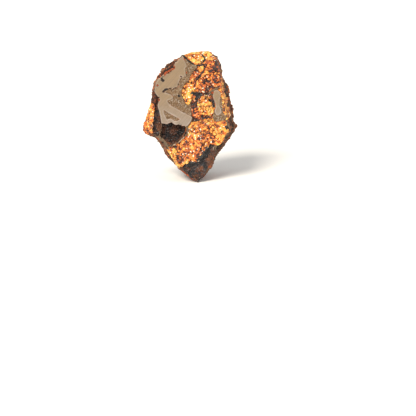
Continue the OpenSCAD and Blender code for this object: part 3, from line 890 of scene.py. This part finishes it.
def skin_finish():
    """The skeleton: brown weathered skin outside, grey metal where the face is cut."""
    colours = bpy.context.scene.stone_colours
    finish = Finish("weathered_metal", **{"Specular IOR Level": 0.5})
    outer, rough = skin_shade(finish, colours)
    cut = finish.field("cut")
    spots = finish.noise(0.25, 3.0).over(0.35, 0.75)
    shade = finish.mix(SHADES["cut_skeleton"], colours.plessite_dark_and_gap_shade, spots * 0.7)
    shade = marked(finish, shade)
    shine = finish.noise(0.5, 4.0).over(0.5, 0.7) * (1 - finish.field("hollow"))
    return finish.wear(
        rough + finish.noise(0.07, 2.0) * 0.4, 0.06,
        Base_Color=finish.mix(outer, shade, cut),
        Metallic=cut * 0.25 + shine * 0.25,
        Roughness=0.82 - shine * 0.25 - cut * 0.25,
    )


def face_marks(places):
    """The fields of the cut face's marks, which fade behind it."""
    marks = {"soot": SOOT_MARKS, "red": RED_MARKS, "earth": EARTH_MARKS, "pale": PALE_AND_GLINT_MARKS}
    front = 1 - smooth(0.4, 1.0, places[:, 1] - CUT_FACE)
    return {name: front * near_marks(places, spots) for name, spots in marks.items()}


# ---------------------------------------------------------------- operators


class STONE_OT_metal(bpy.types.Operator):
    """Grow the cut metal: the bright kamacite and the dull plessite"""

    bl_idname = "stone.metal"
    bl_label = "Cut Metal"

    def execute(self, context):
        finishes = {"kamacite": kamacite_finish(), "plessite": plessite_finish()}
        for node, recess in METAL.items():
            mesh, places, out, depth, side, cut = grow(node, context.scene.stone_sizes.cell)
            sunk, hollow = weathered(places)
            behind = 0.45 + 0.55 * smooth(0.05, 0.7, places[:, 1] - CUT_FACE)
            places = carve(places, out, depth, sunk * side * behind)
            places[:, 1] = np.maximum(places[:, 1], CUT_FACE + recess)
            settle(
                node, mesh, places, finishes[SLOTS[node]], False,
                cut=cut, hollow=hollow, rim=rim_share(places, cut), **face_marks(places))
        return {"FINISHED"}


def nearest_distance(places, others):
    """Distance from each place to the nearest of the others."""
    tree = KDTree(len(others))
    for number, place in enumerate(others):
        tree.insert(place, number)
    tree.balance()
    return np.array([tree.find(place)[2] for place in places])


def rim_share(places, cut):
    """How near the cut face's points lie to the border of their grain, from 0 to 1."""
    walls = places[(cut < 0.5) & (places[:, 1] < CUT_FACE + 0.3)]
    away = nearest_distance(places, walls)
    return 1 - smooth(0.06, 0.24, away + 0.2 * (cloud(places, 0.6, PATTERNS["rim"], 2) - 0.5))


def grow_crumbly(node, material, recess, relief, grain, tone, seed, skin_from=NEAR_SKIN, proud=False):
    """Makes the piece for a node that crumbles into grains. A proud one bulges out of the skin, which
    then laps over its border only."""
    mesh, places, out, depth, side, _ = grow(node, bpy.context.scene.stone_sizes.cell)
    number, facet, border = crumble(places, grain, seed)
    fine_number, fine_facet, _ = crumble(places, grain * 0.5, seed + FINE_CRUMBS)
    open_seams = smooth(0.42, 0.6, cloud(places, 0.9, seed + OPEN_SEAMS, 2))
    groove = (1 - smooth(0.01, 0.12, border)) * (0.15 + 0.85 * open_seams)
    broad = cloud(places, 1.3, seed + BROAD_PATCHES, 3)
    shape = 0.55 * (1 - facet) + 0.2 * (1 - fine_facet) + 0.35 * groove + 0.35 * (broad - 0.3)
    crumbs = recess + relief * np.clip(shape, 0, 1.3)
    common, hollow = weathered(places)
    # Painted shade: strongest in the grooves and where the facets sink deepest
    gap = np.clip(0.8 * groove + 0.7 * (1 - facet) - 0.25, 0, 1)

    patch = cloud(places, 0.8, seed + SMALL_PATCHES, 2)
    mottle = 1 - 1.6 * max(tone, 0)
    # Each grain's tone, painted darker along the grooves as shade
    hue = (0.54 + tone + 0.34 * (number - 0.5) + 0.3 * (fine_number - 0.5)
           + mottle * (1.0 * (broad - 0.5) + 0.95 * (patch - 0.5)) - 0.5 * groove)

    if proud:
        ragged = 1.5 * (cloud(places, 0.9, PATTERNS["proud_edge"], 4) - 0.5)
        crust = 1 - smooth(0.1, 0.75, nearest_distance(places, places[depth > 0.16]) + ragged)
        hue = hue - 0.12 - 0.3 * smooth(0.0, 0.5, crust)
    else:
        crust = cover(places, side, *skin_from)
    weathered_share = side * smooth(0.2, 0.6, crust)
    sunk = crumbs * (1 - 0.4 * side) + side * 0.5 * common
    sunk = sunk * (1 - weathered_share) + common * weathered_share
    places = carve(places, out, depth, sunk)
    settle(
        node, mesh, places, material, True,
        crust=crust, tone=np.clip(hue, 0, 1), gap=gap, hollow=hollow, **face_marks(places))


def seeded(family, grains):
    """The grains of a family, each with a seed of its own, so that no two crumble alike."""
    return zip(grains.items(), itertools.count(SEEDS[family], SEED_STEP))


class STONE_OT_face_crystals(bpy.types.Operator):
    """Grow the olivine crystals of the cut face"""

    bl_idname = "stone.face_crystals"
    bl_label = "Face Crystals"

    def execute(self, context):
        sizes = context.scene.stone_sizes
        finish = olivine_finish("olivine")
        for (node, tone), seed in seeded("face", FACE_CRYSTALS):
            grow_crumbly(
                node, finish, OLIVINE_RECESS, sizes.sugar_depth, sizes.sugar, tone, seed, FAR_SKIN)
        return {"FINISHED"}


class STONE_OT_back_crystals(bpy.types.Operator):
    """Grow the olivine crystals of the sides and back"""

    bl_idname = "stone.back_crystals"
    bl_label = "Back Crystals"

    def execute(self, context):
        sizes = context.scene.stone_sizes
        finish = olivine_finish("olivine_weathered")
        for (node, tone), seed in seeded("back", BACK_CRYSTALS):
            grow_crumbly(
                node, finish, OLIVINE_RECESS, sizes.sugar_depth, 1.15 * sizes.sugar, tone, seed,
                proud=True)
        return {"FINISHED"}


class STONE_OT_oxides(bpy.types.Operator):
    """Grow the black oxide patches, the socket's lining and the dark beads"""

    bl_idname = "stone.oxides"
    bl_label = "Oxides"

    def execute(self, context):
        for (node, tone), seed in seeded("stained", STAINED):
            grow_crumbly(node, bpy.data.materials["olivine"], 0.08, 0.2, 0.4, tone, seed)
        finish = oxide_finish()
        for (node, (recess, relief)), seed in seeded("oxide", OXIDES):
            grow_crumbly(node, finish, recess, relief, CRUMB, 0.0, seed)
        return {"FINISHED"}


class STONE_OT_rusts(bpy.types.Operator):
    """Grow the rusty crusts and the orange beads"""

    bl_idname = "stone.rusts"
    bl_label = "Rust"

    def execute(self, context):
        finish = rust_finish()
        for (node, (recess, relief)), seed in seeded("rust", RUSTS):
            grow_crumbly(node, finish, recess, relief, CRUMB, 0.0, seed)
        return {"FINISHED"}


class STONE_OT_skeleton(bpy.types.Operator):
    """Grow the nickel-iron skeleton with its weathered skin"""

    bl_idname = "stone.skeleton"
    bl_label = "Skeleton"

    def execute(self, context):
        mesh, places, out, depth, side, cut = grow("metal_frame", context.scene.stone_sizes.skin_cell)
        sunk, hollow = weathered(places)
        places = carve(places, out, depth, sunk * side + 0.05 * (1 - side))
        settle(
            "metal_frame", mesh, places, skin_finish(), True,
            cut=cut, hollow=hollow, **face_marks(places))
        return {"FINISHED"}


class STONE_OT_stage(bpy.types.Operator):
    """Set up the floor, the camera and the lights"""

    bl_idname = "stone.stage"
    bl_label = "Stage"

    def execute(self, context):
        studio = context.scene.stone_studio
        scene = context.scene
        scene.view_settings.view_transform = "Standard"

        mesh = bpy.data.meshes.new("floor")
        turns = np.linspace(0, 2 * math.pi, FLOOR_CORNERS, False)
        around = [(FLOOR_RADIUS * math.cos(turn), FLOOR_RADIUS * math.sin(turn), 0) for turn in turns]
        mesh.from_pydata(around, [], [list(range(FLOOR_CORNERS))])
        floor = bpy.data.objects.new("floor", mesh)
        scene.collection.objects.link(floor)
        paper = Finish("floor_paper", **{"Base Color": (0.93, 0.92, 0.9, 1), "Roughness": 0.9})
        mesh.materials.append(paper.material)

        world = bpy.data.worlds.new("studio")
        scene.world = world
        world.use_nodes = True
        # The camera sees a white backdrop, while the sky lights the stone with its own strength
        air = Nodes(world.node_tree)
        sky = air.feed(
            air.tree.nodes["Background"], {"Color": (1.0, 0.99, 0.97, 1), "Strength": studio.sky})
        backdrop = air.node("ShaderNodeBackground", {}, {"Color": (1, 1, 1, 1)})
        seen = air.node("ShaderNodeLightPath").outputs["Is Camera Ray"]
        choice = air.node(
            "ShaderNodeMixShader", {}, {0: seen, 1: sky.outputs[0], 2: backdrop.outputs[0]})
        air.feed(air.tree.nodes["World Output"], {"Surface": choice.outputs[0]})

        yaw, pitch = math.radians(CAMERA_TURN), math.radians(CAMERA_TILT)
        forward = Vector((
            math.sin(yaw) * math.cos(pitch), math.cos(yaw) * math.cos(pitch), -math.sin(pitch)))
        right = Vector((math.cos(yaw), -math.sin(yaw), 0))
        above = right.cross(forward)
        foot = Vector((0, CUT_FACE, 0)) * MM
        lens = bpy.data.cameras.new("camera")
        lens.lens = studio.focal
        lens.clip_start = 0.005
        camera = bpy.data.objects.new("camera", lens)
        scene.collection.objects.link(camera)
        across, up, back = CAMERA_PLACE
        place = foot + (across * right + up * above - back * forward) * MM
        turn = Matrix((right, above, -forward)).transposed().to_4x4()
        camera.matrix_world = Matrix.Translation(place) @ turn
        scene.camera = camera

        lamp(studio.key, *KEY_LIGHT)
        lamp(studio.fill, *FILL_LIGHT)
        return {"FINISHED"}


def lamp(power, source, shade, spread):
    """A soft light from the direction of its source, with its spread in degrees."""
    light = bpy.data.lights.new("lamp", "SUN")
    light.energy = power
    light.color = shade
    light.angle = math.radians(spread)
    made = bpy.data.objects.new("lamp", light)
    bpy.context.scene.collection.objects.link(made)
    made.rotation_euler = (-Vector(source)).to_track_quat("-Z", "Y").to_euler()


class STONE_PT_panel(bpy.types.Panel):
    """Pallasite tools"""

    bl_idname = "STONE_PT_panel"
    bl_label = "Pallasite Meteorite"
    bl_space_type = "VIEW_3D"
    bl_region_type = "UI"
    bl_category = "Pallasite"

    def draw(self, context):
        for group in (context.scene.stone_sizes, context.scene.stone_colours, context.scene.stone_studio):
            box = self.layout.box()
            for name in group.__annotations__:
                box.prop(group, name)
        for operator in OPERATORS:
            self.layout.operator(operator.bl_idname)


GROUPS = {"stone_sizes": StoneSizes, "stone_colours": StoneColours, "stone_studio": StoneStudio}
OPERATORS = (
    STONE_OT_metal,
    STONE_OT_face_crystals,
    STONE_OT_oxides,
    STONE_OT_rusts,
    STONE_OT_skeleton,
    STONE_OT_back_crystals,
    STONE_OT_stage,
)


def register():
    """Adds the settings, operators and panel to Blender."""
    for kind in (*GROUPS.values(), *OPERATORS, STONE_PT_panel):
        bpy.utils.register_class(kind)
    for name, group in GROUPS.items():
        setattr(bpy.types.Scene, name, PointerProperty(type=group))


def unregister():
    """Takes them away again."""
    for name in GROUPS:
        delattr(bpy.types.Scene, name)
    for kind in (STONE_PT_panel, *OPERATORS, *GROUPS.values()):
        bpy.utils.unregister_class(kind)


def main():
    """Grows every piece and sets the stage."""
    register()
    for operator in OPERATORS:
        family, name = operator.bl_idname.split(".")
        getattr(getattr(bpy.ops, family), name)()


if __name__ == "__main__":
    main()
